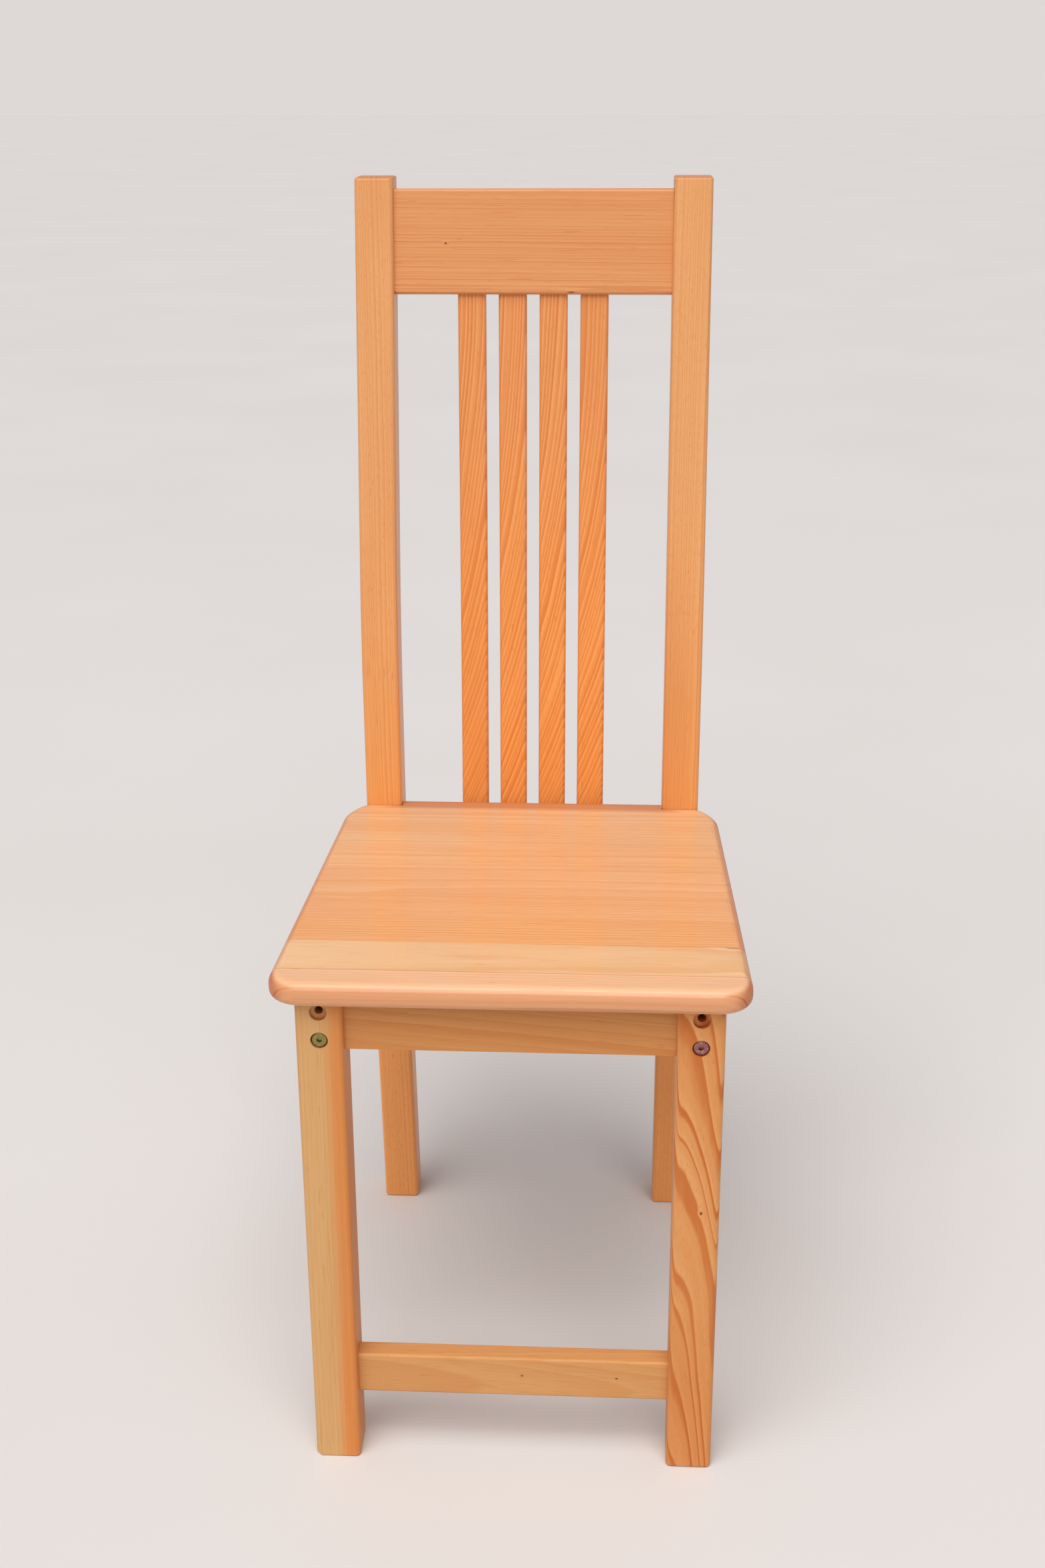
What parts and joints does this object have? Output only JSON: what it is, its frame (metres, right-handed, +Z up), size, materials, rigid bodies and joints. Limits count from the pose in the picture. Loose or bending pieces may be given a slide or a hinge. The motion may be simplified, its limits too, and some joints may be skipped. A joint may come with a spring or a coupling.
{
  "type": "dining chair",
  "caption": "Slat-back pine dining chair with a glued-up plank seat, square front legs, bent rear posts, a low front stretcher and bolted seat frame.",
  "frame": {"origin": "on the floor, in the middle of the chair's overall box", "axes": "+X to the right seen from the front, +Y to the back, +Z up"},
  "size_m": [0.3786, 0.4724, 1.026],
  "materials": {
    "pine_seat": "clear lacquered pine, satin gloss",
    "pine_leg": "clear lacquered pine, satin gloss",
    "pine_post": "clear lacquered pine, satin gloss",
    "pine_rail": "clear lacquered pine, satin gloss",
    "pine_slat": "clear lacquered pine, satin gloss",
    "pine_apron": "clear lacquered pine, satin gloss",
    "zinc_steel": "yellow-passivated zinc plating",
    "beech_dowel": "plain fluted beech, unfinished"
  },
  "bodies": {
    "root": {"front_leg_left": "pine_leg", "front_leg_right": "pine_leg", "rear_post_left": "pine_post", "rear_post_right": "pine_post", "front_apron": "pine_apron", "rear_apron": "pine_apron", "side_apron_left": "pine_apron", "side_apron_right": "pine_apron", "front_stretcher": "pine_apron", "top_rail": "pine_rail", "slat_1": "pine_slat", "slat_2": "pine_slat", "slat_3": "pine_slat", "slat_4": "pine_slat", "seat_board_1": "pine_seat", "seat_board_2": "pine_seat", "seat_board_3": "pine_seat", "seat_board_4": "pine_seat", "seat_board_5": "pine_seat", "seat_board_6": "pine_seat", "seat_board_7": "pine_seat", "seat_board_8": "pine_seat", "front_bolts": "zinc_steel", "rear_bolts": "zinc_steel", "barrel_nuts": "zinc_steel", "rear_dowels": "beech_dowel", "seat_screws": "zinc_steel"}
  },
  "joints": []
}
